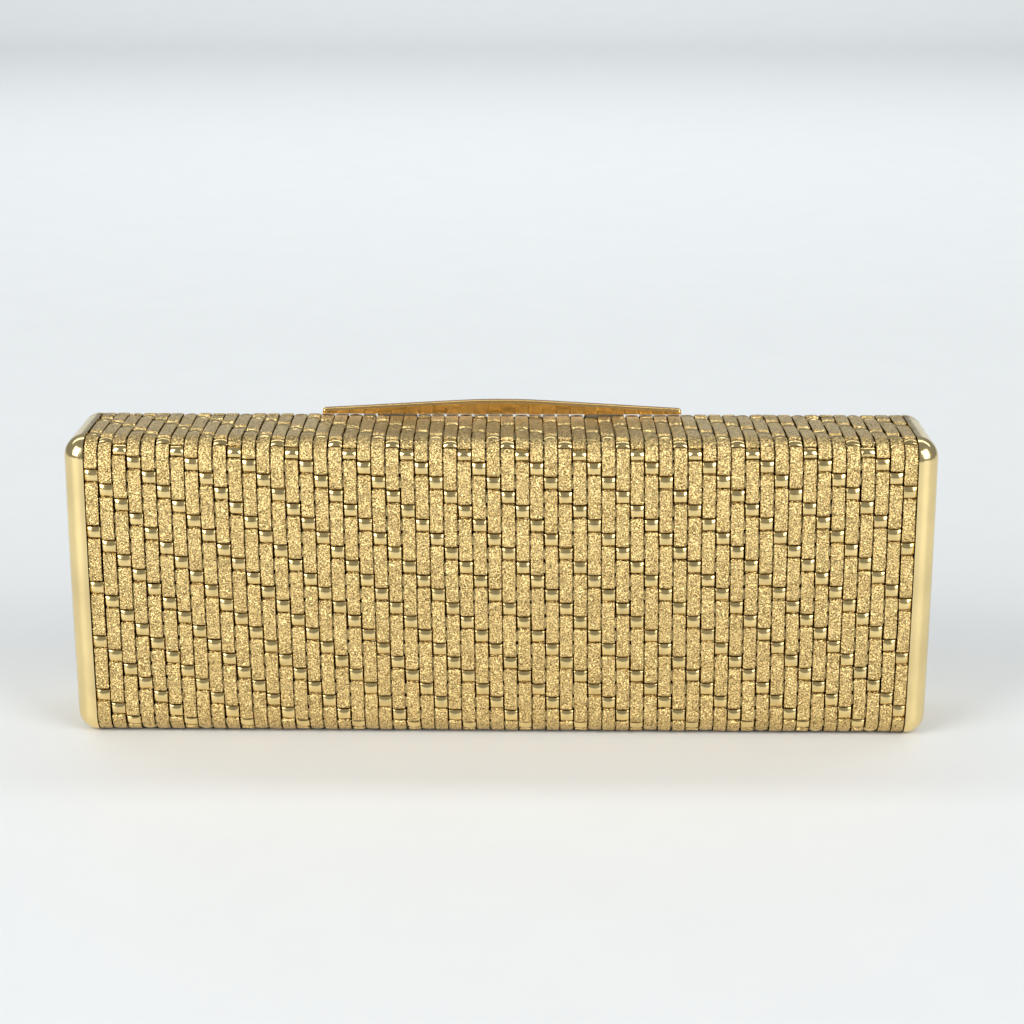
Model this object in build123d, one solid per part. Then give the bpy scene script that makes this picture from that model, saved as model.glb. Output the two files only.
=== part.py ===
"""A rigid box evening bag: a deep front half and a shallow lid, both covered in woven metal strip.

Millimetres. +X runs along the bag, +Y from its front to its back, +Z up. The origin is under the
middle of the bag, on the surface that it stands on. The lid is the back of the bag: it is hinged
along the bottom of the seam, and a long thumb bar on top rocks back to lift two hooks off their
keepers. Each piece is its own solid, written to parts/NODE.step.
"""

from build123d import *
from math import asin, cos, degrees, radians, sin
import os

# Overall sizes
BAG_LENGTH = 200.0
BAG_HEIGHT = 72.0  # to the top of the woven cover, without the thumb bar
BAG_DEPTH = 31.0
LID_DEPTH = 6.5
CORNER_RADIUS = 5.0  # of the section, outside
FRONT_BOW = 1.0  # how far the middle of the front stands out of its edges

# Walls
WEAVE_THICKNESS = 1.3
PAN_WALL = 0.6
CAP_WIDTH = 5.0
CAP_WALL = 0.7
CAP_ROUND = 4.6  # of a cap's outer edge
LINING_THICKNESS = 1.2
LINING_CLEARANCE = 0.15

# The two rims that meet at the seam
SEAM_GAP = 0.3
BODY_RIM_THICKNESS = 1.1
LID_RIM_THICKNESS = 2.2
RIM_WIDTH = 3.0  # of the lid's rim, along the top and bottom
RIM_LEG_DEPTH = 4.0
RIM_LEG_WALL = 1.0
RIM_INNER_RADIUS = 1.5

# Hinge
HINGE_LENGTH = 170.0
KNUCKLES = 17
KNUCKLE_RADIUS = 1.1
HINGE_HEIGHT = 1.5  # of the hinge's axis, and of what meets at the seam
KNUCKLE_GAP = 0.2
HINGE_PIN_RADIUS = 0.55
PIN_CLEARANCE = 0.05
GROOVE_CLEARANCE = 0.3

# Latch
LATCH_X = 24.0  # of each lever's middle, either side of the bag's
LEVER_WIDTH = 8.0
LEVER_THICKNESS = 0.8
LEVER_SETBACK = 0.15  # of its front face, behind the thumb bar's
BARREL_WIDTH = 6.0
BARREL_RADIUS = 1.1
PIVOT_RADIUS = 0.6
PIVOT_BEHIND_SEAM = 2.3
PIVOT_BELOW_TOP = 6.1
HOOK_WIDTH = 4.0
HOOK_REACH = 4.25  # of the arm, from the lever's front face
HOOK_TIP_LENGTH = 0.9  # along the arm
HOOK_TIP_DROP = 0.9
ARM_RISE = 0.6  # of the arm's underside, above the pivot
KEEPER_WALL = 0.8
KEEPER_CLEARANCE = 0.3  # between a hook's tip and its keeper's bar, and behind the tip
KEEPER_BAR_HEIGHT = 1.0
KEEPER_SIDE_CLEARANCE = 0.8
BRACKET_WALL = 0.8
BRACKET_BASE = 0.5
BRACKET_DROP = 5.6  # of the bracket's base, below the pivot
SLOT_CLEARANCE = 0.4  # round a lever, in the lid's rim and in its bracket
TAB_THICKNESS = 0.9  # of the lid rim's tabs, that carry the rim past the levers
TAB_SIDE = 3.0
TAB_BELOW = 3.5
SPRING_WIRE = 0.36
SPRING_TURNS = 3
SPRING_PITCH = 0.45
SPRING_LEG_ANGLE = 26.0  # of the lower leg, out of the vertical
SPRING_LOWER_LEG = 5.0
SPRING_UPPER_LEG = 3.5

# Thumb bar
BAR_LENGTH = 85.0
BAR_PEAK_RISE = 3.7  # above the woven top, at the middle
BAR_END_RISE = 1.5  # above the woven top, at the ends
BAR_LIFT = 0.3  # of its underside, above the woven top
BAR_THICKNESS = 1.6
BAR_SEAM_SETBACK = 0.1
BAR_CREST_RADIUS = 180.0
BAR_EDGE_RADIUS = 0.6  # of the front's top edge
BAR_END_RADIUS = 0.7

# Stays
STAY_RADIUS = 17.0
STAY_WIDTH = 3.0
STAY_THICKNESS = 0.8
STAY_FROM_LEG = 1.3  # between an arm and the body rim's leg
STAY_GUIDE_ANGLE = 12.0
STAY_OPENING = 60.0  # how far the lid opens
STAY_END_ANGLE = 5.0
STAY_END_EXTRA = 0.8
STAY_FOOT_HEIGHT = 9.0
STAY_CLEARANCE = 0.3
GUIDE_WALL = 0.8
GUIDE_DEPTH = 1.2

# Fasteners
STUD_RADIUS = 0.9
STUD_HEAD_RADIUS = 1.6
STUD_HEAD_HEIGHT = 0.6
STUD_HEIGHTS = (22.0, 50.0)
STUD_Y = -4.0
RIVET_RADIUS = 0.6
RIVET_HEAD_RADIUS = 1.1
RIVET_HEAD_HEIGHT = 0.4
RIVET_HEIGHTS = (34.0, 56.0)
BRACKET_RIVET_DROP = 4.2  # below the pivot
BRACKET_RIVET_X = 2.6

# Lid pad
PAD_THICKNESS = 2.2
PAD_MARGIN = 1.0  # inside the lid rim's opening
PAD_TOP_MARGIN = 9.0  # leaves room for the latch

# Worked out from the sizes above
front_y = -BAG_DEPTH / 2
back_y = BAG_DEPTH / 2
seam_y = back_y - LID_DEPTH
panel_x = BAG_LENGTH / 2 - CAP_WIDTH  # where the woven cover meets the caps
pan_inner = WEAVE_THICKNESS + PAN_WALL
pan_x = panel_x - PAN_WALL  # inner face of the pans' end walls
pan_back_y = back_y - pan_inner  # inner face of the lid's back wall
body_rim_front = seam_y - SEAM_GAP / 2
body_rim_back = body_rim_front - BODY_RIM_THICKNESS
lid_rim_front = seam_y + SEAM_GAP / 2
lid_rim_back = lid_rim_front + LID_RIM_THICKNESS
rim_top = BAG_HEIGHT - WEAVE_THICKNESS
leg_inner = pan_inner + RIM_LEG_WALL
leg_end = body_rim_back - RIM_LEG_DEPTH
leg_x = pan_x - RIM_LEG_WALL  # inner face of the leg's ends
lid_band_bottom = rim_top - RIM_WIDTH
rivet_y = (body_rim_back + leg_end) / 2
pivot_y = seam_y + PIVOT_BEHIND_SEAM
pivot_z = BAG_HEIGHT - PIVOT_BELOW_TOP
bar_front = lid_rim_front + BAR_SEAM_SETBACK
bar_bottom = BAG_HEIGHT + BAR_LIFT
lever_front = bar_front + LEVER_SETBACK
lever_back = lever_front + LEVER_THICKNESS
slot_half = LEVER_WIDTH / 2 + SLOT_CLEARANCE
slot_bottom = pivot_z - BARREL_RADIUS - SLOT_CLEARANCE
arm_bottom = pivot_z + ARM_RISE
hook_tip_front = lever_front - HOOK_REACH
spring_radius = pivot_y - lever_back - SPRING_WIRE / 2  # so that the upper leg lies on the lever's back
stay_x = leg_x - STAY_FROM_LEG  # outer face of an arm


def block(x, y, z):
    """A box between the limits of three (low, high) pairs."""
    size = Box(x[1] - x[0], y[1] - y[0], z[1] - z[0])
    return Pos((x[0] + x[1]) / 2, (y[0] + y[1]) / 2, (z[0] + z[1]) / 2) * size


def rod(x0, x1, y, z, radius):
    """A cylinder along X from x0 to x1."""
    return Pos((x0 + x1) / 2, y, z) * Rot(0, 90, 0) * Cylinder(radius, x1 - x0)


def cross_rod(x, z, y0, y1, radius):
    """A cylinder along Y between two depths."""
    return Pos(x, (y0 + y1) / 2, z) * Rot(90, 0, 0) * Cylinder(radius, abs(y1 - y0))


def section(inset):
    """The bag's section across its length, drawn in from its outside by inset."""
    edge_y = front_y + FRONT_BOW
    outline = [
        ThreePointArc((edge_y, 0), (front_y, BAG_HEIGHT / 2), (edge_y, BAG_HEIGHT)),
        Line((edge_y, BAG_HEIGHT), (back_y, BAG_HEIGHT)),
        Line((back_y, BAG_HEIGHT), (back_y, 0)),
        Line((back_y, 0), (edge_y, 0)),
    ]
    face = make_face(Curve() + outline)
    face = fillet(face.vertices(), CORNER_RADIUS)
    if inset:
        face = offset(face, -inset)
    return Plane.YZ * face


def section_bar(inset, x0, x1):
    """The section drawn in by inset, as a solid from x0 to x1."""
    return Pos(x0, 0, 0) * extrude(section(inset), x1 - x0, dir=(1, 0, 0))


def slab(y0, y1):
    """Everything in the bag between two depths."""
    reach = BAG_LENGTH
    return block((-reach, reach), (y0, y1), (-reach, reach))


def plate(y0, y1, half_length, z0, z1, radius):
    """A rounded plate across the bag, from y0 to y1 in depth."""
    outline = Plane.XZ * Pos(0, (z0 + z1) / 2) * RectangleRounded(2 * half_length, z1 - z0, radius)
    return Pos(0, y0, 0) * extrude(outline, y1 - y0, dir=(0, 1, 0))


def halves(whole):
    """A closed shell parted at the seam, and cut back under the hinge so that the lid can turn."""
    below = block((-BAG_LENGTH, BAG_LENGTH), (body_rim_back, lid_rim_back), (-1, HINGE_HEIGHT))
    whole = whole - below
    return whole & slab(front_y - 1, body_rim_front), whole & slab(lid_rim_front, back_y + 1)


def woven_covers():
    """The two woven covers, each one sheet round its half of the bag; the lid's is slotted for the levers."""
    tube = section_bar(0, -panel_x, panel_x) - section_bar(WEAVE_THICKNESS, -BAG_LENGTH, BAG_LENGTH)
    front, back = halves(tube)
    return front, back - lever_slots()


def pans():
    """The two pressed pans that carry the covers, with holes for the studs and rivets."""
    outside = section_bar(WEAVE_THICKNESS, -panel_x, panel_x)
    whole = outside - section_bar(pan_inner, -pan_x, pan_x)
    body = whole & slab(front_y - 1, body_rim_back)
    lid = whole & slab(lid_rim_back, back_y + 1)
    body -= [rod(-BAG_LENGTH, BAG_LENGTH, STUD_Y, z, STUD_RADIUS) for z in STUD_HEIGHTS]
    body -= [rod(-BAG_LENGTH, BAG_LENGTH, rivet_y, z, RIVET_RADIUS) for z in RIVET_HEIGHTS]
    lid -= [cross_rod(x, z, back_y, pan_back_y, RIVET_RADIUS) for x, z in bracket_rivet_places()]
    return body, lid


def cap_form(inset):
    """A right-hand cap's outside, or with an inset its inside, as a solid."""
    form = section_bar(inset, 0, CAP_WIDTH - inset)
    outer_edge = form.faces().sort_by(Axis.X)[-1].edges()
    return Pos(panel_x, 0, 0) * fillet(outer_edge, CAP_ROUND - inset)


def caps(side):
    """The body's cap and the lid's at one end: one hollow form, parted at the seam."""
    whole = cap_form(0) - cap_form(CAP_WALL)
    front, back = halves(whole)
    return (front, back) if side > 0 else (mirror(front, about=Plane.YZ), mirror(back, about=Plane.YZ))


def rim_blank(y0, y1):
    """A plate across the bag that fills the covers and the caps, with its bottom edge at the hinge."""
    cap = cap_form(CAP_WALL)
    inside = section_bar(WEAVE_THICKNESS, -panel_x, panel_x) + cap + mirror(cap, about=Plane.YZ)
    return (inside & slab(y0, y1)) - block((-BAG_LENGTH, BAG_LENGTH), (y0 - 1, y1 + 1), (-1, HINGE_HEIGHT))


def knuckle_spans():
    """(x0, x1) of each hinge knuckle, from left to right."""
    pitch = HINGE_LENGTH / KNUCKLES
    left = -HINGE_LENGTH / 2
    gap = KNUCKLE_GAP / 2
    return [(left + i * pitch + gap, left + (i + 1) * pitch - gap) for i in range(KNUCKLES)]


def hinge_groove(own_first):
    """What a rim loses to the hinge: a seat for its own knuckles, and room for the other rim's."""
    cuts = []
    for i, (x0, x1) in enumerate(knuckle_spans()):
        own = (i % 2 == 0) == own_first
        radius = KNUCKLE_RADIUS if own else KNUCKLE_RADIUS + GROOVE_CLEARANCE
        spare = KNUCKLE_GAP / 2 if own else KNUCKLE_GAP
        cuts.append(rod(x0 - spare, x1 + spare, seam_y, HINGE_HEIGHT, radius))
    return cuts


def knuckles(own_first, bore):
    """One half's hinge tubes."""
    chosen = [s for i, s in enumerate(knuckle_spans()) if (i % 2 == 0) == own_first]
    tubes = []
    for x0, x1 in chosen:
        tube = rod(x0, x1, seam_y, HINGE_HEIGHT, KNUCKLE_RADIUS)
        tubes.append(tube - rod(x0 - 1, x1 + 1, seam_y, HINGE_HEIGHT, bore))
    return Compound(children=tubes)


def body_rim():
    """The deep half's rim: a flat ring at the seam, and a leg that lines the pan's mouth."""
    ring = rim_blank(body_rim_back, body_rim_front)
    leg = section_bar(pan_inner, -pan_x, pan_x) & slab(leg_end, body_rim_back)
    mouth = plate(leg_end - 1, seam_y, leg_x, leg_inner, BAG_HEIGHT - leg_inner, RIM_INNER_RADIUS)
    rim = ring + leg - mouth - hinge_groove(True)
    return rim - [rod(-BAG_LENGTH, BAG_LENGTH, rivet_y, z, RIVET_RADIUS) for z in RIVET_HEIGHTS]


def lever_slots():
    """The room that the levers stand in, cut through the lid's rim and cover."""
    depth = (seam_y, lid_rim_back)
    height = (slot_bottom, BAG_HEIGHT + 1)
    return [block((x - slot_half, x + slot_half), depth, height) for x in (-LATCH_X, LATCH_X)]


def lid_rim():
    """The lid's rim: a flat ring, slotted for the two levers, with tabs that carry it past the slots."""
    ring = rim_blank(lid_rim_front, lid_rim_back)
    opening_bottom = HINGE_HEIGHT + RIM_WIDTH
    ring -= plate(seam_y, lid_rim_back + 1, leg_x, opening_bottom, lid_band_bottom, RIM_INNER_RADIUS)
    tab_half = slot_half + TAB_SIDE
    for x in (-LATCH_X, LATCH_X):
        tab_depth = (lid_rim_front, lid_rim_front + TAB_THICKNESS)
        ring += block((x - tab_half, x + tab_half), tab_depth, (slot_bottom - TAB_BELOW, lid_band_bottom))
    return ring - lever_slots() - hinge_groove(False)


def body_lining():
    """The deep half's lining: a floor panel against the pan's front, and a wall round it."""
    outer = pan_inner + LINING_CLEARANCE
    inner = outer + LINING_THICKNESS
    outer_x = pan_x - STUD_HEAD_HEIGHT - LINING_CLEARANCE
    inner_x = outer_x - LINING_THICKNESS
    tray = section_bar(outer, -outer_x, outer_x) & slab(front_y, leg_end - LINING_CLEARANCE)
    tray -= section_bar(inner, -inner_x, inner_x)
    floor_end = front_y + FRONT_BOW + inner
    return tray & slab(front_y, floor_end), tray & slab(floor_end, back_y)


def lid_pad():
    """The lid's padded panel, in the rim's opening and against the pan."""
    half = leg_x - PAD_MARGIN
    low = HINGE_HEIGHT + RIM_WIDTH + PAD_MARGIN
    high = lid_band_bottom - PAD_TOP_MARGIN
    return plate(pan_back_y - PAD_THICKNESS, pan_back_y, half, low, high, RIM_INNER_RADIUS)


def cap_studs():
    """Studs inside the body's caps, headed over inside the pan."""
    studs = []
    for z in STUD_HEIGHTS:
        shank = rod(pan_x, BAG_LENGTH / 2 - CAP_WALL, STUD_Y, z, STUD_RADIUS)
        head = rod(pan_x - STUD_HEAD_HEIGHT, pan_x, STUD_Y, z, STUD_HEAD_RADIUS)
        stud = shank + head
        studs += [stud, mirror(stud, about=Plane.YZ)]
    return Compound(children=studs)


def rim_rivets():
    """Rivets through the body rim's leg and the pan's end walls."""
    rivets = []
    for z in RIVET_HEIGHTS:
        shank = rod(leg_x, panel_x, rivet_y, z, RIVET_RADIUS)
        inner_head = rod(leg_x - RIVET_HEAD_HEIGHT, leg_x, rivet_y, z, RIVET_HEAD_RADIUS)
        outer_head = rod(panel_x, panel_x + RIVET_HEAD_HEIGHT, rivet_y, z, RIVET_HEAD_RADIUS)
        rivet = shank + inner_head + outer_head
        rivets += [rivet, mirror(rivet, about=Plane.YZ)]
    return Compound(children=rivets)


def bracket_rivet_places():
    """(x, z) of each rivet that holds a latch bracket."""
    z = pivot_z - BRACKET_RIVET_DROP
    return [(x + side * BRACKET_RIVET_X, z) for x in (-LATCH_X, LATCH_X) for side in (-1, 1)]


def bracket_rivets():
    """Rivets through the latch brackets and the lid pan's back wall, flush under the woven cover."""
    face = pan_back_y - BRACKET_BASE
    rivets = []
    for x, z in bracket_rivet_places():
        shank = cross_rod(x, z, face, pan_back_y + PAN_WALL, RIVET_RADIUS)
        head = cross_rod(x, z, face - RIVET_HEAD_HEIGHT, face, RIVET_HEAD_RADIUS)
        rivets.append(shank + head)
    return Compound(children=rivets)


def thumb_bar():
    """The long thumb bar: straight underneath, gently peaked on top, its front edge rounded over."""
    half = BAR_LENGTH / 2
    end = BAG_HEIGHT + BAR_END_RISE
    slope = (BAR_PEAK_RISE - BAR_END_RISE) / half
    corner = BAG_HEIGHT + BAR_PEAK_RISE + BAR_CREST_RADIUS * slope**2 / 2
    points = [(-half, bar_bottom), (-half, end), (0, corner), (half, end), (half, bar_bottom)]
    outline = make_face(Polyline(*points, close=True))
    outline = fillet(outline.vertices().sort_by(Axis.Y)[-1], BAR_CREST_RADIUS)
    shoulders = [v for v in outline.vertices() if abs(v.X) == half and v.Y > bar_bottom]
    outline = fillet(shoulders, BAR_END_RADIUS)
    bar = Pos(0, bar_front, 0) * extrude(Plane.XZ * outline, BAR_THICKNESS, dir=(0, 1, 0))
    front = bar.faces().sort_by(Axis.Y)[0]
    upper = [edge for edge in front.edges() if edge.center().Z > end - BAR_END_RADIUS]
    return fillet(upper, BAR_EDGE_RADIUS)


def lever(x):
    """One latch lever: a barrel on the pivot, a stem up to the bar, and an arm forward to its hook."""
    left = x - LEVER_WIDTH / 2
    barrel_end = left + BARREL_WIDTH
    barrel = rod(left, barrel_end, pivot_y, pivot_z, BARREL_RADIUS)
    stem = block((left, left + LEVER_WIDTH), (lever_front, lever_back), (arm_bottom, bar_bottom))
    web = block((left, barrel_end), (lever_front, pivot_y), (pivot_z, pivot_z + BARREL_RADIUS))
    arm_x = (x - HOOK_WIDTH / 2, x + HOOK_WIDTH / 2)
    arm = block(arm_x, (hook_tip_front, lever_front), (arm_bottom, arm_bottom + LEVER_THICKNESS))
    tip_y = (hook_tip_front, hook_tip_front + HOOK_TIP_LENGTH)
    tip = block(arm_x, tip_y, (arm_bottom - HOOK_TIP_DROP, arm_bottom))
    bore = rod(left - 1, barrel_end + 1, pivot_y, pivot_z, PIVOT_RADIUS + PIN_CLEARANCE)
    return stem + web + barrel + arm + tip - bore


def bracket(x):
    """The bracket that holds one lever's pivot: a base on the lid's back wall and two ears."""
    outside = slot_half + BRACKET_WALL
    high = pivot_z + BARREL_RADIUS
    face = pan_back_y - BRACKET_BASE
    piece = block((x - outside, x + outside), (face, pan_back_y), (pivot_z - BRACKET_DROP, high))
    for side in (-1, 1):
        ear_x = sorted((x + side * slot_half, x + side * outside))
        piece += block(ear_x, (pivot_y - BARREL_RADIUS, face), (pivot_z - BARREL_RADIUS, high))
    piece -= rod(x - outside - 1, x + outside + 1, pivot_y, pivot_z, PIVOT_RADIUS)
    return piece - [cross_rod(*place, face, pan_back_y, RIVET_RADIUS) for place in bracket_rivet_places()]


def pivot_pin(x):
    """The pin that one lever rocks on."""
    reach = slot_half + BRACKET_WALL + PIVOT_RADIUS / 2
    return rod(x - reach, x + reach, pivot_y, pivot_z, PIVOT_RADIUS)


def spring(x):
    """A torsion spring on the pin: its upper leg lies on the lever's back, its lower one on the bracket."""
    turn = SPRING_TURNS + SPRING_LEG_ANGLE / 360
    coil = Helix(SPRING_PITCH, SPRING_PITCH * turn, spring_radius)
    wire = sweep(Plane(coil @ 0, z_dir=coil % 0) * Circle(SPRING_WIRE / 2), path=coil)
    for end, way, length in ((0, -1, SPRING_UPPER_LEG), (1, 1, SPRING_LOWER_LEG)):
        along = coil % end
        across = Vector(along.X * way, along.Y * way, 0)
        wire += extrude(Plane(coil @ end, z_dir=across) * Circle(SPRING_WIRE / 2), length)
    start = x - LEVER_WIDTH / 2 + BARREL_WIDTH + SPRING_WIRE
    return Pos(start, pivot_y, pivot_z) * Rot(0, 90, 0) * Rot(0, 0, -90) * wire


def keeper(x):
    """A stirrup under the body rim's leg, that the hook drops in front of."""
    hole_half = HOOK_WIDTH / 2 + KEEPER_SIDE_CLEARANCE
    half = hole_half + KEEPER_WALL
    bar_top = arm_bottom - HOOK_TIP_DROP - KEEPER_CLEARANCE
    front = hook_tip_front + HOOK_TIP_LENGTH + KEEPER_CLEARANCE
    top = BAG_HEIGHT - leg_inner
    back = front + KEEPER_WALL
    stirrup = block((x - half, x + half), (front, back), (bar_top - KEEPER_BAR_HEIGHT, top))
    return stirrup - block((x - hole_half, x + hole_half), (front - 1, back + 1), (bar_top, top + 1))


def arc_band(x0, x1, inner, outer, angle0, angle1):
    """Part of a flat ring about the hinge's axis, its angles measured from upright towards the front."""
    ring = Plane.YZ * (Circle(outer) - Circle(inner))
    band = extrude(ring, x1 - x0, dir=(1, 0, 0))
    far = 2 * outer
    corners = [(0, 0)]
    steps = 4
    for i in range(steps + 1):
        angle = radians(angle0 + (angle1 - angle0) * i / steps)
        corners.append((-far * sin(angle), far * cos(angle)))
    wedge = extrude(Plane.YZ * make_face(Polyline(*corners, close=True)), x1 - x0, dir=(1, 0, 0))
    return Pos(x0, seam_y, HINGE_HEIGHT) * (band & wedge)


def stay(side):
    """One stay: an arm bent about the hinge's axis, its foot on the lid's rim and a wide end in the body."""
    half_width = STAY_WIDTH / 2
    inner_x = stay_x - STAY_THICKNESS
    inner = STAY_RADIUS - half_width
    outer = STAY_RADIUS + half_width
    guide_front = STAY_RADIUS * sin(radians(STAY_GUIDE_ANGLE)) + GUIDE_DEPTH / 2
    stop = STAY_OPENING + degrees(asin((guide_front + STAY_CLEARANCE) / (inner - STAY_END_EXTRA)))
    arm = arc_band(inner_x, stay_x, inner, outer, -STAY_END_ANGLE, stop)
    end_radii = (inner - STAY_END_EXTRA, outer + STAY_END_EXTRA)
    end = arc_band(inner_x, stay_x, *end_radii, stop, stop + STAY_END_ANGLE)
    foot_z = HINGE_HEIGHT + STAY_RADIUS
    foot_span = (foot_z - STAY_FOOT_HEIGHT / 2, foot_z + STAY_FOOT_HEIGHT / 2)
    foot = block((inner_x, leg_x), (lid_rim_front, lid_rim_front + LID_RIM_THICKNESS / 2), foot_span)
    piece = arm + end + foot
    return piece if side > 0 else mirror(piece, about=Plane.YZ)


def stay_guide(side):
    """A loop on the body rim's leg that a stay's arm runs through, and its wide end stops against."""
    middle_y = seam_y - STAY_RADIUS * sin(radians(STAY_GUIDE_ANGLE))
    middle_z = HINGE_HEIGHT + STAY_RADIUS * cos(radians(STAY_GUIDE_ANGLE))
    tilt = GUIDE_DEPTH * sin(radians(STAY_GUIDE_ANGLE))
    hole_half = STAY_WIDTH / 2 + tilt + STAY_CLEARANCE
    hole_x = (stay_x - STAY_THICKNESS - STAY_CLEARANCE, stay_x + STAY_CLEARANCE)
    depth = (middle_y - GUIDE_DEPTH / 2, middle_y + GUIDE_DEPTH / 2)
    half = hole_half + GUIDE_WALL
    loop = block((hole_x[0] - GUIDE_WALL, leg_x), depth, (middle_z - half, middle_z + half))
    loop -= block(hole_x, (depth[0] - 1, depth[1] + 1), (middle_z - hole_half, middle_z + hole_half))
    return loop if side > 0 else mirror(loop, about=Plane.YZ)


def pair(make):
    """The right-hand one of a latch piece and its mirror image, as two separate solids."""
    right = make(LATCH_X)
    return Compound(children=[right, mirror(right, about=Plane.YZ)])


def main():
    body_weave, lid_weave = woven_covers()
    body_pan, lid_pan = pans()
    body_cap_right, lid_cap_right = caps(1)
    body_cap_left, lid_cap_left = caps(-1)
    floor, wall = body_lining()
    pieces = {
        "body_weave": body_weave,
        "lid_weave": lid_weave,
        "body_pan": body_pan,
        "lid_pan": lid_pan,
        "body_cap_left": body_cap_left,
        "body_cap_right": body_cap_right,
        "lid_cap_left": lid_cap_left,
        "lid_cap_right": lid_cap_right,
        "body_rim": body_rim(),
        "lid_rim": lid_rim(),
        "body_lining_floor": floor,
        "body_lining_wall": wall,
        "lid_pad": lid_pad(),
        "cap_studs": cap_studs(),
        "rim_rivets": rim_rivets(),
        "body_hinge_knuckles": knuckles(True, HINGE_PIN_RADIUS),
        "lid_hinge_knuckles": knuckles(False, HINGE_PIN_RADIUS + PIN_CLEARANCE),
        "hinge_pin": rod(-HINGE_LENGTH / 2, HINGE_LENGTH / 2, seam_y, HINGE_HEIGHT, HINGE_PIN_RADIUS),
        "thumb_bar": thumb_bar(),
        "latch_levers": pair(lever),
        "latch_brackets": pair(bracket),
        "latch_pins": pair(pivot_pin),
        "latch_springs": pair(spring),
        "bracket_rivets": bracket_rivets(),
        "latch_keepers": pair(keeper),
        "stay_left": stay(-1),
        "stay_right": stay(1),
        "stay_guides": Compound(children=[stay_guide(-1), stay_guide(1)]),
    }
    os.makedirs("parts", exist_ok=True)
    for name, piece in pieces.items():
        export_step(piece, f"parts/{name}.step")


main()
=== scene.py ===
"""The looks of a strip-woven evening bag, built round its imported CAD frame.

Lengths are in metres, and one written in millimetres is multiplied by MM. Where a length is measured along a
cover, it runs over the bag's outer section, forward from the top edge of the body's cover.
"""

import math
import random

import bpy
from bpy.props import FloatProperty, FloatVectorProperty, IntProperty, PointerProperty
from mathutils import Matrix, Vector


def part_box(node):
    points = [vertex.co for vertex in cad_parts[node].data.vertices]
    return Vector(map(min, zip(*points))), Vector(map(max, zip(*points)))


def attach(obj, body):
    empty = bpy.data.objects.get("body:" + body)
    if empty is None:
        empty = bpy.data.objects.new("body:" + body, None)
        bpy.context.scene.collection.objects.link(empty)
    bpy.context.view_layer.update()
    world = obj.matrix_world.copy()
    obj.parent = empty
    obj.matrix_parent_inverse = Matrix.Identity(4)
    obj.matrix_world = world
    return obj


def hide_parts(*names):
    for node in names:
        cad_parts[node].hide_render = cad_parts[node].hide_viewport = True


bl_info = {
    "name": "Woven Evening Bag",
    "version": (1, 0, 0),
    "blender": (4, 5, 0),
    "location": "3D View > Sidebar > Evening Bag",
    "description": "Weaves the covers, lines the bag and finishes its metal round a packed frame",
    "category": "Object",
}

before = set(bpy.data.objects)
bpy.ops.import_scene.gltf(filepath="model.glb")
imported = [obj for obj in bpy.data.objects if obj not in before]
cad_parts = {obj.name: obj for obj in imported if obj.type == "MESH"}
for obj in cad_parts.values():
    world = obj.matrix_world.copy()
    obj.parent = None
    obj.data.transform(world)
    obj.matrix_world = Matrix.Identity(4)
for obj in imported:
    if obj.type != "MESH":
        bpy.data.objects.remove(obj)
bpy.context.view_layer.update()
MM = 0.001

# The section that the covers are wrapped round
CORNER_RADIUS = 5.0 * MM
FRONT_BOW = 1.0 * MM
OUTLINE_STEP = 0.1 * MM
weave_low, weave_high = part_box("body_weave")
lid_low, lid_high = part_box("lid_weave")
PANEL_HALF = weave_high[0]
FRONT_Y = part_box("body_cap_left")[0][1]
BACK_Y = lid_high[1]
TOP_Z = weave_high[2]
BODY_SEAM_Y = weave_high[1]
LID_SEAM_Y = lid_low[1]
BODY_UNDER_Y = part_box("body_pan")[1][1]
LID_UNDER_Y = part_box("lid_pan")[0][1]
WEAVE_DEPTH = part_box("body_pan")[0][2] - weave_low[2]
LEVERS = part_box("latch_levers")

# The weave: each upright strip floats over three rows and dips under the fourth
FLOAT_ROWS = 3
REPEAT = FLOAT_ROWS + 1
ROWS_EACH_WAY = 64  # more than go round the bag, counted from the first row either way
LEVER_HALF = 4.0 * MM
LEVER_CLEARANCE = 0.2 * MM  # between a lever and the nearest strip
SLOT_HALF = 4.4 * MM  # of the backing's cut-out at each lever
LEVER_X = LEVERS[1][0] - LEVER_HALF  # of each lever's middle, either side of the bag's
LIP = LID_UNDER_Y - LID_SEAM_Y  # how far the lid's cover overhangs its pan, over the lid's rim
BACKING_HALF = PANEL_HALF - 0.02 * MM
SEED = 7

# The linings
PAN_CORNER = CORNER_RADIUS - 2.05 * MM  # in by the cover, the pan's wall and the lining's clearance
EDGE_PUFF = 5 * MM  # over which a panel's edge rounds up to its full height
WALL_THICKNESS = 1.2 * MM
WALL_CORNER = 3.0 * MM
WALL_TUCK = 1.15 * MM  # how far the wall's lower edge turns in, over the floor's edge
WALL_DROP = 0.8 * MM  # how far that edge goes down beside the floor


# Colour and material helpers


def linear(hex_colour):
    """An sRGB hex value as linear red, green and blue."""
    channels = [int(hex_colour[i : i + 2], 16) / 255 for i in (1, 3, 5)]
    return [c / 12.92 if c <= 0.04045 else ((c + 0.055) / 1.055) ** 2.4 for c in channels]


def add(tree, kind, inputs=None, **settings):
    """Adds one node with its settings; an input is a value, or another node's output socket."""
    node = tree.nodes.new(kind)
    for name, value in settings.items():
        setattr(node, name, value)
    for name, value in (inputs or {}).items():
        if isinstance(value, bpy.types.NodeSocket):
            tree.links.new(value, node.inputs[name])
        else:
            node.inputs[name].default_value = value
    return node


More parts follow.
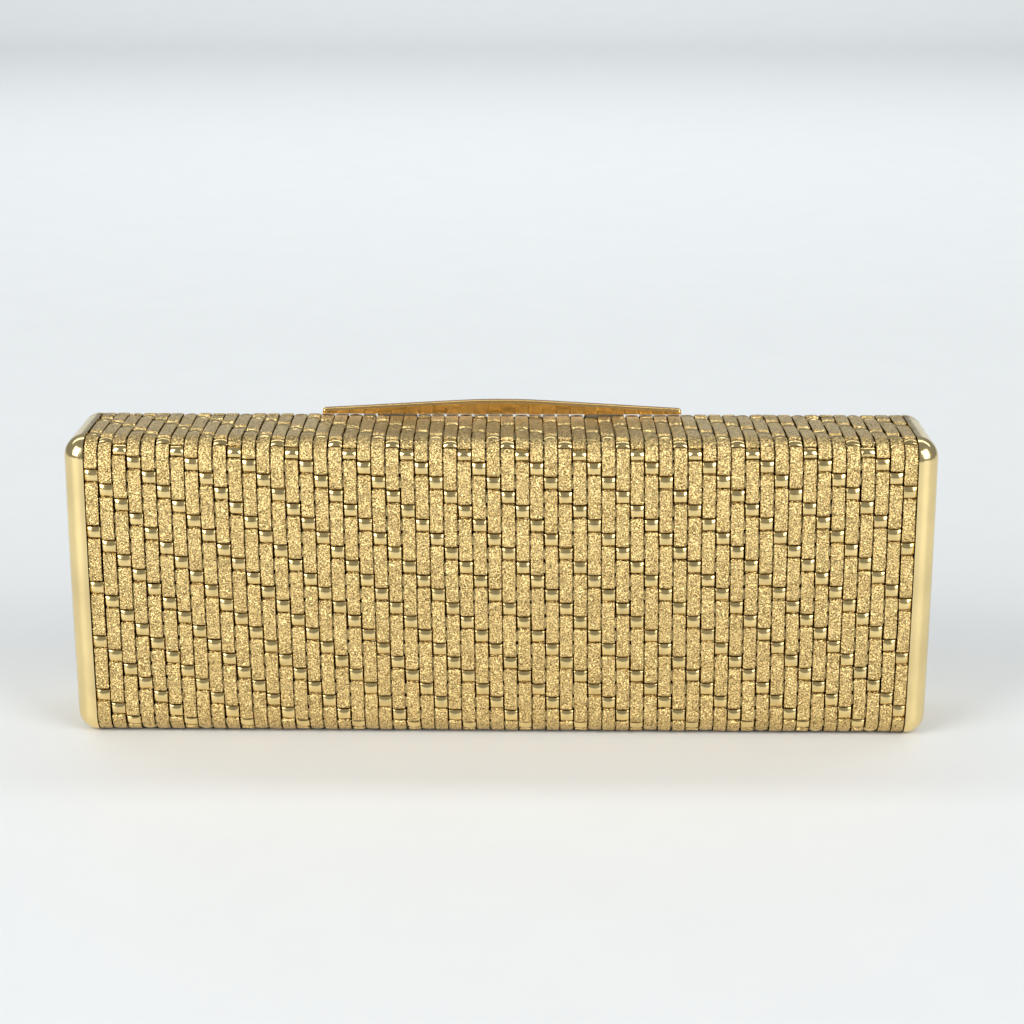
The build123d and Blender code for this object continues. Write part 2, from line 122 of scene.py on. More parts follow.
def new_material(name, **shader):
    """A material with one Principled shader, whose constant sockets are set here."""
    material = bpy.data.materials.new(name)
    material.use_nodes = True
    tree = material.node_tree
    tree.nodes.clear()
    surface = add(tree, "ShaderNodeBsdfPrincipled", shader)
    add(tree, "ShaderNodeOutputMaterial", {"Surface": surface.outputs[0]})
    return material, tree, surface


def ramp(tree, factor, stops):
    """A colour ramp from (position, colour) pairs."""
    node = add(tree, "ShaderNodeValToRGB", {"Fac": factor})
    elements = node.color_ramp.elements
    while len(elements) < len(stops):
        elements.new(0.5)
    for element, (position, shade) in zip(elements, stops):
        element.position = position
        element.color = (*shade, 1)
    return node.outputs["Color"]


def shade(colour, factor):
    """A colour made darker or lighter."""
    return [min(1, c * factor) for c in colour]


def place(tree, scale=(1, 1, 1)):
    """Object coordinates in metres, stretched."""
    where = add(tree, "ShaderNodeTexCoord").outputs["Object"]
    return add(tree, "ShaderNodeMapping", {"Vector": where, "Scale": scale}).outputs["Vector"]


def patches(tree, size, detail=3.0, scale=(1, 1, 1)):
    """Noise whose patches are about size metres across."""
    settings = {"Vector": place(tree, scale), "Scale": 1 / size, "Detail": detail}
    return add(tree, "ShaderNodeTexNoise", settings)


def recess_shade(tree, colour, depth, darkest):
    """A colour darkened by painted shade where ambient occlusion finds the weave's recesses."""
    hollow = add(tree, "ShaderNodeAmbientOcclusion", {"Distance": depth}, samples=4)
    # Painted shade: the colour darkens where the occlusion is deepest
    painted_shade = ramp(tree, hollow.outputs["AO"], ((0.3, linear(darkest)), (0.78, (1, 1, 1))))
    return multiply(tree, colour, painted_shade)


def multiply(tree, a, b):
    """Two colours multiplied."""
    mix = add(tree, "ShaderNodeMix", {"Factor": 1.0, 6: a, 7: b}, data_type="RGBA", blend_type="MULTIPLY")
    return mix.outputs[2]


def roughen(tree, surface, pattern, strength, height, more=None):
    """Raises a pattern on a surface as bumps of that height."""
    settings = {"Height": pattern.outputs["Fac"], "Strength": strength, "Distance": height, **(more or {})}
    tree.links.new(add(tree, "ShaderNodeBump", settings).outputs["Normal"], surface.inputs["Normal"])


# Materials


def buffed_gilt_brass(gold, name="buffed_gilt_brass"):
    """Gilt brass, pressed and buffed on a mop: a clear reflection, hair-fine scratches and slight tarnish.

    Real buffing lines are a few hundredths of a millimetre apart; they are drawn at a quarter, to show.
    """
    material, tree, surface = new_material(name, Metallic=1.0, Roughness=0.16)
    tarnish = patches(tree, 14 * MM)
    stops = ((0.35, shade(gold, 0.86)), (0.6, gold))
    tree.links.new(ramp(tree, tarnish.outputs["Fac"], stops), surface.inputs["Base Color"])
    wear = patches(tree, 3 * MM, 5.0)
    spread = {"From Min": 0.35, "From Max": 0.75, "To Min": 0.1, "To Max": 0.24}
    rough = add(tree, "ShaderNodeMapRange", {"Value": wear.outputs["Fac"], **spread})
    tree.links.new(rough.outputs["Result"], surface.inputs["Roughness"])
    scratches = patches(tree, 0.25 * MM, 2.0, (1, 1, 0.06))
    roughen(tree, surface, scratches, 0.05, 0.02 * MM)
    return material


def frosted_gilt_strip(colours):
    """Gilt strip rolled between grained rolls: small facets that sparkle one by one.

    The real grain is about a tenth of a millimetre. To show, its facets are drawn at a fifth and its
    specks at a third. The dark pits and specks in its colour are painted shade of facets turned from the
    light.
    """
    gold = colours.frosted
    material, tree, surface = new_material("frosted_gilt_strip", Metallic=1.0, Roughness=0.3)
    grain = add(tree, "ShaderNodeTexVoronoi", {"Vector": place(tree), "Scale": 1 / (0.2 * MM)})
    coarse = patches(tree, 0.4 * MM, 2.0)
    tone = patches(tree, 5 * MM)
    heights = {0: grain.outputs["Distance"], 1: coarse.outputs["Fac"]}
    pits = add(tree, "ShaderNodeMath", heights, operation="ADD")
    sharp = patches(tree, 0.34 * MM, 1.0)
    # Dark specks: painted shade of facets turned away from the light
    speck_shade_stops = ((0.36, (0.42, 0.36, 0.28)), (0.47, (0.96, 0.96, 0.95)), (0.6, (1, 1, 1)))
    speck_shade = ramp(tree, sharp.outputs["Fac"], speck_shade_stops)
    # Darker pits: painted shade of facets turned away from the light
    scaled = add(tree, "ShaderNodeMath", {0: pits.outputs[0], 1: 0.8}, operation="MULTIPLY")
    pit_shade_stops = ((0.3, gold), (0.8, shade(gold, 0.97)), (1.15, shade(gold, 0.5)))
    pit_shade = ramp(tree, scaled.outputs[0], pit_shade_stops)
    dull = ramp(tree, tone.outputs["Fac"], ((0.3, (0.94, 0.92, 0.88)), (0.65, (1, 1, 1))))
    # Down in the weave's recesses the colour darkens towards #3A2A14 as painted shade
    colour = recess_shade(tree, multiply(tree, multiply(tree, pit_shade, speck_shade), dull), 0.6 * MM, "#3A2A14")
    tree.links.new(colour, surface.inputs["Base Color"])
    # Each facet's random colour, centred on nought, tilts the surface there
    half = {0: grain.outputs["Color"], 1: (0.5, 0.5, 0.5)}
    tilt = add(tree, "ShaderNodeVectorMath", half, operation="SUBTRACT")
    plain = add(tree, "ShaderNodeNewGeometry").outputs["Normal"]
    facet = add(tree, "ShaderNodeVectorMath", {0: plain, 1: tilt.outputs[0]}, operation="ADD")
    unit = add(tree, "ShaderNodeVectorMath", {0: facet.outputs[0]}, operation="NORMALIZE")
    roughen(tree, surface, sharp, 0.6, 0.25 * MM, {"Normal": unit.outputs[0]})
    return material


def polished_gilt_strip(colours):
    """The same strip left bright from the rolls: a mirror where it comes up, with painted shade down in the
    weave.
    """
    gold = colours.polished_strip
    material, tree, surface = new_material("polished_gilt_strip", Metallic=1.0, Roughness=0.16)
    tarnish = patches(tree, 2.5 * MM)
    bright = ramp(tree, tarnish.outputs["Fac"], ((0.3, shade(gold, 0.82)), (0.62, gold)))
    # Down in the weave's recesses the colour darkens towards #2E200F as painted shade
    tree.links.new(recess_shade(tree, bright, 0.8 * MM, "#2E200F"), surface.inputs["Base Color"])
    ripple = patches(tree, 0.9 * MM, 1.0)
    roughen(tree, surface, ripple, 0.18, 0.08 * MM)
    return material


def drawn_steel(colours):
    """Mild steel, pressed in a drawing die: grey, with fine drag lines along the draw."""
    material, tree, surface = new_material("drawn_steel", Metallic=1.0, Roughness=0.35)
    lines = patches(tree, 0.4 * MM, 3.0, (0.05, 1, 1))
    stops = ((0.3, shade(colours.steel, 0.75)), (0.7, colours.steel))
    tree.links.new(ramp(tree, lines.outputs["Fac"], stops), surface.inputs["Base Color"])
    roughen(tree, surface, lines, 0.15, 0.03 * MM)
    return material


def blued_spring_steel():
    """Spring wire, hardened and blued by heat: nearly black, with a straw tint in places."""
    material, tree, surface = new_material("blued_spring_steel", Metallic=1.0, Roughness=0.3)
    heat = patches(tree, 0.8 * MM)
    stops = ((0.35, linear("#2A3038")), (0.7, linear("#5A5348")))
    tree.links.new(ramp(tree, heat.outputs["Fac"], stops), surface.inputs["Base Color"])
    return material


def satin(colours):
    """Acetate satin, woven with long floats: a soft streaked sheen along the threads.

    The real threads are about a tenth of a millimetre apart; they are drawn at a third, to show.
    """
    sheen = {"Sheen Weight": 0.6, "Sheen Roughness": 0.3}
    material, tree, surface = new_material("acetate_satin", Metallic=0.0, Roughness=0.36, **sheen)
    threads = patches(tree, 0.33 * MM, 2.0, (0.08, 1, 1))
    cloud = patches(tree, 18 * MM)
    stops = ((0.3, shade(colours.satin, 0.7)), (0.7, colours.satin))
    weave = ramp(tree, threads.outputs["Fac"], stops)
    worn = ramp(tree, cloud.outputs["Fac"], ((0.35, (0.85, 0.83, 0.8)), (0.6, (1, 1, 1))))
    tree.links.new(multiply(tree, weave, worn), surface.inputs["Base Color"])
    roughen(tree, surface, threads, 0.3, 0.06 * MM)
    return material


def shade_dark_buckram():
    """Buckram, stiffened cotton, near black brown as painted shade: matt, seen only as shadow between the
    strips.
    """
    material, tree, surface = new_material("buckram_backing_painted_shade", Metallic=0.0, Roughness=0.9)
    fibres = patches(tree, 0.5 * MM)
    # Near black brown: painted shade in the gaps between the strips
    stops = ((0.3, linear("#1B120A")), (0.7, linear("#33241A")))
    tree.links.new(ramp(tree, fibres.outputs["Fac"], stops), surface.inputs["Base Color"])
    return material


def matt_board(colours):
    """Painted board, matt white: a plain floor with a faint roller texture."""
    material, tree, surface = new_material("matt_white_board", Metallic=0.0, Roughness=0.55)
    roller = patches(tree, 30 * MM)
    stops = ((0.3, shade(colours.floor, 0.985)), (0.7, colours.floor))
    tree.links.new(ramp(tree, roller.outputs["Fac"], stops), surface.inputs["Base Color"])
    return material


# The outline that the covers follow


def outline():
    """The bag's outer section as (y, z) points, forward from the seam and round to the seam again.

    It starts at the body cover's top edge and goes forward, down, under, up the back and forward again.
    """
    radius = CORNER_RADIUS
    middle = TOP_Z / 2
    bow_radius = (middle**2 + FRONT_BOW**2) / (2 * FRONT_BOW)
    bow_y = FRONT_Y + bow_radius
    front_y = bow_y - math.sqrt((bow_radius - radius) ** 2 - (middle - radius) ** 2)
    lean = math.degrees(math.asin((middle - radius) / (bow_radius - radius)))
    back_y = BACK_Y - radius

    def line(a, b):
        steps = max(1, round(math.dist(a, b) / OUTLINE_STEP))
        return [(a[0] + (b[0] - a[0]) * i / steps, a[1] + (b[1] - a[1]) * i / steps) for i in range(steps)]

    def arc(y, z, size, start, end):
        steps = max(1, round(size * math.radians(end - start) / OUTLINE_STEP))
        turns = [math.radians(start + (end - start) * i / steps) for i in range(steps)]
        return [(y + size * math.cos(turn), z + size * math.sin(turn)) for turn in turns]

    points = line((BODY_SEAM_Y, TOP_Z), (front_y, TOP_Z))
    points += arc(front_y, TOP_Z - radius, radius, 90, 180 - lean)
    points += arc(bow_y, middle, bow_radius, 180 - lean, 180 + lean)
    points += arc(front_y, radius, radius, 180 + lean, 270)
    points += line((front_y, 0), (back_y, 0))
    points += arc(back_y, radius, radius, 270, 360)
    points += line((BACK_Y, radius), (BACK_Y, TOP_Z - radius))
    points += arc(back_y, TOP_Z - radius, radius, 0, 90)
    points += line((back_y, TOP_Z), (BODY_SEAM_Y, TOP_Z))
    return points


class Path:
    """The outline measured by distance from the body cover's top edge."""

    def __init__(self):
        self.points = outline()
        self.step = []
        total = 0.0
        closed = self.points + self.points[:1]
        for a, b in zip(closed, closed[1:]):
            self.step.append(total)
            total += math.dist(a, b)
        self.length = total

    def at(self, distance):
        """The point on the outline there, and the outward direction."""
        distance %= self.length
        low, high = 0, len(self.step) - 1
        while low < high:
            mid = (low + high + 1) // 2
            if self.step[mid] <= distance:
                low = mid
            else:
                high = mid - 1
        a = Vector(self.points[low])
        b = Vector(self.points[(low + 1) % len(self.points)])
        span = (b - a).length
        point = a.lerp(b, min(1, (distance - self.step[low]) / span))
        before = Vector(self.points[(low - 3) % len(self.points)])
        after = Vector(self.points[(low + 4) % len(self.points)])
        along = (after - before).normalized()
        return point, Vector((along.y, -along.x))

    def find(self, y, z_high, start=0.0):
        """The first distance after start where the outline passes y on the top or the underside."""
        for distance, (py, pz) in zip(self.step, self.points):
            if distance >= start and abs(py - y) <= OUTLINE_STEP and (pz > TOP_Z / 2) == z_high:
                return distance
        raise RuntimeError(f"The outline never passes {y}")


PATH = Path()
BODY_RUN = (0.0, PATH.find(BODY_UNDER_Y, False))
LID_RUN = (
    PATH.find(LID_UNDER_Y, False) - PATH.length,
    PATH.find(LID_SEAM_Y, True, PATH.length / 2) - PATH.length,
)


# Mesh helpers


def in_space(x, distance, inset):
    """A point over the outline: x along the bag, and inset in from the outside."""
    point, out = PATH.at(distance)
    return (x, point.x - out.x * inset, point.y - out.y * inset)


def smooth(value):
    """0 to 1 with a gentle start and end."""
    value = min(1.0, max(0.0, value))
    return value * value * (3 - 2 * value)


def pillow(value, depth, power):
    """How high a pillow stands, from 1 in its middle, down by depth, and to 0 at its very edge."""
    value = abs(value)
    return 0.0 if value >= 1 else 1 - depth * value**power


def tubes_to_mesh(name, tubes, material):
    """One object from lists of equal rings, each list a closed tube with flat ends."""
    points, faces = [], []
    for rings in tubes:
        count = len(rings[0])
        first = len(points)
        for ring in rings:
            points.extend(ring)
        for i in range(len(rings) - 1):
            a = first + i * count
            b = a + count
            faces.extend((a + k, a + (k + 1) % count, b + (k + 1) % count, b + k) for k in range(count))
        last = first + (len(rings) - 1) * count
        faces.append(tuple(first + k for k in reversed(range(count))))
        faces.append(tuple(last + k for k in range(count)))
    piece = mesh_piece(name, points, faces, material)
    for polygon in piece.data.polygons:
        polygon.use_smooth = len(polygon.vertices) == 4
    return piece


def mesh_piece(name, points, faces, material):
    """One smooth object from points and faces, with its faces turned outward."""
    mesh = bpy.data.meshes.new(name)
    mesh.from_pydata(points, [], faces)
    mesh.validate()
    mesh.shade_smooth()
    mesh.materials.append(material)
    piece = bpy.data.objects.new(name, mesh)
    bpy.context.collection.objects.link(piece)
    bpy.context.view_layer.objects.active = piece
    piece.select_set(True)
    bpy.ops.object.mode_set(mode="EDIT")
    bpy.ops.mesh.select_all(action="SELECT")
    bpy.ops.mesh.normals_make_consistent(inside=False)
    bpy.ops.object.mode_set(mode="OBJECT")
    piece.select_set(False)
    return piece


# The weave


def nub_here(column, row, columns):
    """Whether the strip along the bag shows at this column and row."""
    return (column - columns // 2 - row) % REPEAT == 0


def hang(x, sizes):
    """How far a row hangs below its ends at x: most in the middle of the bag."""
    return sizes.sag * (1 - (x / PANEL_HALF) ** 2)


def drifted(x, distance, sizes):
    """Where a strip meant for x was really laid: further right lower down, but never at the caps."""
    down = (distance - sizes.first_row) / TOP_Z
    moved = x + sizes.lean * down * (1 - (x / PANEL_HALF) ** 6)
    return min(PANEL_HALF, max(-PANEL_HALF, moved))


def near_lever(x, half):
    """Whether a strip at x would stand in a lever's slot."""
    return abs(abs(x) - LEVER_X) < LEVER_HALF + LEVER_CLEARANCE + half


def upright_strips(run, sizes, chance):
    """The strips up the bag: flat over three rows, and down under the polished strip in the fourth."""
    pitch = 2 * PANEL_HALF / sizes.columns
    half = (pitch - sizes.gap) / 2
    # Rings lie close together where a strip dips, in rows from the nub it goes under, and far apart between
    dips = (0.0, 0.32, 0.40, 0.44, 0.48, 0.52, 0.57, 0.66)
    float_rows = REPEAT - 2 * dips[-1]
    offsets = sorted({-d for d in dips} | set(dips) | {dips[-1] + float_rows * i / 5 for i in range(1, 5)})
    # Across a strip, as shares of its half width and of its shoulder: flat, with rounded edges
    across = ((-1, 1), (-0.95, 0.42), (-0.82, 0.1), (-0.3, 0), (0.3, 0), (0.82, 0.1), (0.95, 0.42), (1, 1))
    end_room = 0.1 * MM
    tubes = []
    for column in range(sizes.columns):
        middle = -PANEL_HALF + pitch * (column + 0.5)
        shift = chance.uniform(-1, 1) * sizes.wander
        width = half * (1 + chance.uniform(-0.02, 0.01))
        lean = chance.uniform(-0.05, 0.05) * MM
        start, end = run
        if run is LID_RUN and near_lever(middle, half):
            end -= LIP
        first = sizes.first_row + hang(middle, sizes)
        step = sizes.row_pitch
        nubs = [row for row in range(-ROWS_EACH_WAY, ROWS_EACH_WAY) if nub_here(column, row, sizes.columns)]
        heights = {row: chance.uniform(-0.04, 0.04) * MM for row in nubs}
        wanted = [first + (row + offset) * step for row in nubs for offset in offsets]
        distances = [start, *sorted(d for d in wanted if start + end_room < d < end - end_room), end]
        rings = []
        for distance in distances:
            where = (distance - first) / step
            row = min(nubs, key=lambda r: abs(where - r))
            away = abs(where - row)
            hidden = 1 - smooth((away - 0.40) / 0.17)
            belly = 0.05 * MM * (1 - smooth((away - 0.5) / 0.8)) + heights[row]
            inset = sizes.proud + 0.04 * MM + belly + hidden * sizes.dip
            sway = 0.06 * MM * math.sin(distance / (9 * MM) + column)
            centre = middle + shift + sway
            ring = []
            for side, fall in across:
                x = drifted(centre + side * width, distance, sizes)
                ring.append(in_space(x, distance, inset + fall * sizes.shoulder + side * lean))
            for side in (1, -1):
                x = drifted(centre + side * width, distance, sizes)
                ring.append(in_space(x, distance, inset + sizes.shoulder + sizes.thickness))
            rings.append(ring)
        tubes.append(rings)
    return tubes


def long_strips(run, sizes, chance):
    """The strips along the bag: under three uprights, and up over the fourth as a pillow-shaped nub."""
    pitch = 2 * PANEL_HALF / sizes.columns
    # Along a nub in shares of the pitch, and across it in shares of its half height: closest at its edges
    steps = (-0.5, -0.465, -0.42, -0.35, -0.25, -0.13, 0, 0.13, 0.25, 0.35, 0.42, 0.465, 0.5)
    across = (-1, -0.93, -0.8, -0.55, -0.2, 0.2, 0.55, 0.8, 0.93, 1)
    narrowest = 0.5 * MM
    slot_start = run[1] - 0.8 * LIP
    low_end, high_end = run[0] + 0.05 * MM, run[1] - 0.05 * MM
    tubes = []
    for row in range(-60, 60):
        spans = [[]]
        for column in range(sizes.columns):
            middle = -PANEL_HALF + pitch * (column + 0.5)
            centre = sizes.first_row + hang(middle, sizes) + row * sizes.row_pitch
            low, high = max(centre - sizes.nub / 2, low_end), min(centre + sizes.nub / 2, high_end)
            slotted = run is LID_RUN and high > slot_start and near_lever(middle, pitch / 2)
            if high - low < narrowest or slotted:
                if spans[-1]:
                    spans.append([])
                continue
            shows = nub_here(column, row, sizes.columns)
            rise = sizes.rise * chance.uniform(0.85, 1.08)
            tilt = chance.uniform(-0.08, 0.08) * MM
            swell = chance.uniform(0.95, 1.04)
            for step in steps if shows else (0.0,):
                up = pillow(step * 2, 0.75, 2.2) if shows else 0
                inset = sizes.proud + sizes.rise * 1.12 - rise * up + tilt * step
                x = middle + step * pitch * 0.985
                lower = sizes.first_row + hang(x, sizes) + row * sizes.row_pitch
                edges = max(lower - sizes.nub / 2, low_end), min(lower + sizes.nub / 2, high_end)
                half = (edges[1] - edges[0]) / 2 * (swell if shows else 0.96)
                crown = sizes.crown * (0.3 + 0.7 * up)
                over = [(side, (1 - pillow(side, 0.78, 1.8)) * crown) for side in across]
                ring = []
                for side, fall in (*over, (1, crown + sizes.thickness), (-1, crown + sizes.thickness)):
                    distance = min(run[1], max(run[0], sum(edges) / 2 + side * half))
                    ring.append(in_space(drifted(x, distance, sizes), distance, inset + fall))
                spans[-1].append(ring)
        tubes += [span for span in spans if len(span) > 1]
    return tubes


def backing(run, sizes):
    """The stiff cloth under the strips, as a thin sheet round the section, cut away at the levers' slots."""
    half = BACKING_HALF
    ring_step = 0.8 * MM
    inner = LEVER_X - SLOT_HALF
    outer = LEVER_X + SLOT_HALF
    pieces = [(-half, half, *run)]
    if run is LID_RUN:
        edge = run[1] - LIP
        pieces = [(-half, half, run[0], edge)]
        pieces += [(a, b, edge, run[1]) for a, b in ((-half, -outer), (-inner, inner), (outer, half))]
    tubes = []
    for left, right, start, end in pieces:
        count = max(2, round((end - start) / ring_step))
        top = WEAVE_DEPTH - sizes.backing
        corners = ((left, top), (right, top), (right, WEAVE_DEPTH), (left, WEAVE_DEPTH))
        distances = [start + (end - start) * i / count for i in range(count + 1)]
        tubes.append([[in_space(x, distance, inset) for x, inset in corners] for distance in distances])
    return tubes


# The linings


def pan_back(z):
    """How far the front wall's inside stands in from its deepest point, from its bow and its two corners."""
    middle = TOP_Z / 2
    bow = FRONT_BOW * ((z - middle) / middle) ** 2
    reach = abs(z - middle) - (middle - CORNER_RADIUS)
    if reach <= 0:
        return bow
    return bow + PAN_CORNER - math.sqrt(max(0.0, PAN_CORNER**2 - reach**2))


def cushion(name, x_half, z_low, z_high, y_wall, y_crown, puff, material, chance, back=lambda z: 0.0):
    """A soft panel that faces the front or the back: flat on its wall, crowned, and puckered at its edge."""
    columns, lines = 150, 48
    toward = 1 if y_crown > y_wall else -1
    depth = abs(y_crown - y_wall)
    centre_z, half_z = (z_low + z_high) / 2, (z_high - z_low) / 2
    phases = [chance.uniform(0, math.tau) for _ in range(6)]
    points, faces = [], []

    def height(u, v):
        edge = min((1 - abs(u)) * x_half, (1 - abs(v)) * half_z)
        rise = math.sqrt(smooth(edge / EDGE_PUFF))
        pucker = math.sin(u * 47 + phases[0]) * math.sin(u * 19 + phases[1]) + math.sin(v * 21 + phases[2])
        gather = pucker * 0.18 * MM * smooth(edge / (2 * MM)) * (1 - smooth(edge / (10 * MM)))
        crease = 0.12 * MM * math.sin(u * 7 + v * 3 + phases[3]) * smooth(edge / (8 * MM))
        return depth * (1 - puff) + (depth * puff - 0.25 * MM) * rise + gather + crease

    for side in (0, 1):
        for j in range(lines + 1):
            for i in range(columns + 1):
                u = math.sin(math.pi / 2 * (2 * i / columns - 1))
                v = math.sin(math.pi / 2 * (2 * j / lines - 1))
                near_edge = 1 - smooth((1 - abs(v)) * half_z / (4 * MM))
                pull = 0.35 * MM * math.sin(u * 60 + phases[4]) * near_edge
                z = centre_z + v * (half_z - 0.4 * MM) + pull * 0.5 * v
                front = height(u, v)
                y = y_wall + toward * (front if side else min(back(z), front - 0.15 * MM))
                points.append((u * x_half, y, z))
    stride = columns + 1
    layer = stride * (lines + 1)
    for j in range(lines):
        for i in range(columns):
            a = j * stride + i
            faces.append((a, a + stride, a + stride + 1, a + 1))
            faces.append((a + layer, a + 1 + layer, a + stride + 1 + layer, a + stride + layer))
    rim = list(range(columns)) + [columns + j * stride for j in range(lines)]
    rim += [lines * stride + i for i in range(columns, 0, -1)] + [j * stride for j in range(lines, 0, -1)]
    for a, b in zip(rim, rim[1:] + rim[:1]):
        faces.append((a, b, b + layer, a + layer))
    return mesh_piece(name, points, faces, material)


def wall_band(material, chance):
    """The lining's wall, a soft band round the compartment, gathered into shallow folds."""
    low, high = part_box("body_lining_wall")
    radius = WALL_CORNER
    x_half = high[0] - radius
    z0, z1 = low[2] + radius, high[2] - radius
    bend_steps, steps = 6, 12
    loop = []

    def run(ax, az, bx, bz, nx, nz):
        count = max(2, round(math.dist((ax, az), (bx, bz)) / (1.5 * MM)))
        loop.extend((ax + (bx - ax) * i / count, az + (bz - az) * i / count, nx, nz) for i in range(count))

    def bend(cx, cz, start):
        for i in range(bend_steps):
            turn = math.radians(start + 90 * i / bend_steps)
            nx, nz = math.cos(turn), math.sin(turn)
            loop.append((cx + radius * nx, cz + radius * nz, nx, nz))

    run(-x_half, z0 - radius, x_half, z0 - radius, 0, -1)
    bend(x_half, z0, -90)
    run(x_half + radius, z0, x_half + radius, z1, 1, 0)
    bend(x_half, z1, 0)
    run(x_half, z1 + radius, -x_half, z1 + radius, 0, 1)
    bend(-x_half, z1, 90)
    run(-x_half - radius, z1, -x_half - radius, z0, -1, 0)
    bend(-x_half, z0, 180)
    phases = [chance.uniform(0, math.tau) for _ in range(3)]
    foot = low[1] - WALL_DROP
    points, faces = [], []
    for k, (x, z, nx, nz) in enumerate(loop):
        # Each ring goes in from the loop: the tucked edge, up the folds, and down the wall's back
        ring = [(WALL_TUCK + 0.7 * MM, foot)]
        for i in range(steps + 1):
            v = i / steps
            edge = math.sin(math.pi * v)
            fold = math.sin(k * 0.55 + phases[0]) * math.sin(k * 0.21 + phases[1]) * 0.3 * MM * edge
            lip = 0.5 * MM if i == 0 else 0.0
            inner = WALL_THICKNESS * (0.6 + 0.3 * edge) + fold + lip
            ring.append((inner, low[1] + (high[1] - low[1]) * v))
        ring += [(0.0, high[1]), (0.5 * MM, low[1]), (WALL_TUCK, foot)]
        count = len(ring)
        points.extend((x - nx * inset, y, z - nz * inset) for inset, y in ring)
    for k in range(len(loop)):
        a, b = k * count, (k + 1) % len(loop) * count
        faces.extend((a + i, a + (i + 1) % count, b + (i + 1) % count, b + i) for i in range(count))
    return mesh_piece("lining_wall", points, faces, material)


# What a user can change


def length(name, default, description):
    """A length in metres that the panel shows in the scene's units."""
    return FloatProperty(name=name, description=description, default=default, unit="LENGTH", precision=5)


def colour(name, hex_colour, description):
    """A colour, given as sRGB and kept linear."""
    default = linear(hex_colour)
    return FloatVectorProperty(name=name, description=description, subtype="COLOR", default=default)


class BagSizes(bpy.types.PropertyGroup):
    """The weave's sizes."""

    columns: IntProperty(name="Upright strips", description="How many run up the bag", default=58, min=8)
    first_row: length("First row", 19.95 * MM, "From the body's top edge to the first row on the front")
    row_pitch: length("Row pitch", 3.345 * MM, "From row to row")
    sag: length("Sag", 1.6 * MM, "How far a row hangs in its middle")
    lean: length("Lean", 0.9 * MM, "How much further right the strips are low down")
    gap: length("Gap", 0.32 * MM, "Between two upright strips")
    thickness: length("Strip", 0.12 * MM, "A strip's thickness at its edge")
    shoulder: length("Shoulder", 0.2 * MM, "How far a strip's edges are rounded over")
    dip: length("Dip", 0.72 * MM, "How far an upright strip goes down under a row")
    nub: length("Nub", 2.75 * MM, "A nub's height up the bag")
    rise: length("Rise", 0.6 * MM, "How far a nub comes up")
    crown: length("Crown", 0.58 * MM, "How domed a nub is")
    proud: length("Inset", 0.04 * MM, "Between the bag's outside and the strips")
    wander: length("Wander", 0.05 * MM, "How far a strip lies off its place")
    backing: length("Backing", 0.1 * MM, "The backing cloth's thickness")


class BagColours(bpy.types.PropertyGroup):
    """The bag's colours, linear."""

    polished: colour("Polished brass", "#F3DA9E", "Caps and rims")
    bar: colour("Bar", "#FFD084", "The thumb bar")
    frosted: colour("Frosted strip", "#FFDF9A", "Upright strips")
    polished_strip: colour("Polished strip", "#F6DA98", "Strips along the bag")
    steel: colour("Steel", "#B9B6B0", "Pans and latch")
    satin: colour("Satin", "#D8BC8C", "The lining")
    floor: colour("Floor", "#ECEEEE", "The floor")


class BagStudio(bpy.types.PropertyGroup):
    """Where the camera stands."""

    azimuth: FloatProperty(
        name="Azimuth", description="Round the bag", default=math.radians(0.72), subtype="ANGLE"
    )
    elevation: FloatProperty(
        name="Elevation", description="Above the floor", default=math.radians(16.4), subtype="ANGLE"
    )
    distance: length("Distance", 519.5 * MM, "From the aim")
    lens: FloatProperty(name="Lens", description="Focal length in millimetres", default=77.55)
    aim: FloatVectorProperty(
        name="Aim", description="Where it looks", subtype="TRANSLATION", default=(2.54 * MM, 0, 50.85 * MM)
    )


# Operators


class BAG_OT_weave(bpy.types.Operator):
    """Weaves both covers from frosted and polished strip"""

    bl_idname = "evening_bag.weave"
    bl_label = "Weave the covers"

    def execute(self, context):
        sizes = context.scene.bag_sizes
        colours = context.scene.bag_colours
        frosted = frosted_gilt_strip(colours)
        polished = polished_gilt_strip(colours)
        # The backing's near black colour is painted shade between the strips
        cloth = shade_dark_buckram()
        chance = random.Random(SEED)
        for body, run in (("body", BODY_RUN), ("lid", LID_RUN)):
            strips = upright_strips(run, sizes, chance)
            uprights = tubes_to_mesh(f"{body}_upright_strips", strips, frosted)
            strips = long_strips(run, sizes, chance)
            longs = tubes_to_mesh(f"{body}_long_strips", strips, polished)
            under = tubes_to_mesh(f"{body}_cover_backing", backing(run, sizes), cloth)
            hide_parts(f"{body}_weave")
            # The cloth lies deeper than the outline, so its two corners take half a turn off its length
            width, length = 2 * BACKING_HALF, run[1] - run[0] - math.pi * WEAVE_DEPTH
            area = width * length
            if run is LID_RUN:
                area -= 2 * 2 * SLOT_HALF * LIP
            for piece in (uprights, longs, under):
                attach(piece, body)
        return {"FINISHED"}


class BAG_OT_line(bpy.types.Operator):
    """Lines the compartment and pads the lid in satin"""

    bl_idname = "evening_bag.line"
    bl_label = "Line the bag"

    def execute(self, context):
        cloth = satin(context.scene.bag_colours)
        chance = random.Random(SEED + 1)
        low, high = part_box("lid_pad")
        bottom = low[2] - 2 * MM  # lower than the frame's, to cover the pan's bare bottom edge
        pad = cushion("lid_cushion", high[0], bottom, high[2], high[1], low[1], 0.75, cloth, chance)
        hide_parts("lid_pad")
        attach(pad, "lid")
        low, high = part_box("body_lining_floor")
        span = (high[0], low[2], high[2], low[1], high[1])
        floor = cushion("lining_floor", *span, 0.3, cloth, chance, pan_back)
        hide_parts("body_lining_floor")
        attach(floor, "body")
        wall = wall_band(cloth, chance)
        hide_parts("body_lining_wall")
        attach(wall, "body")
        return {"FINISHED"}


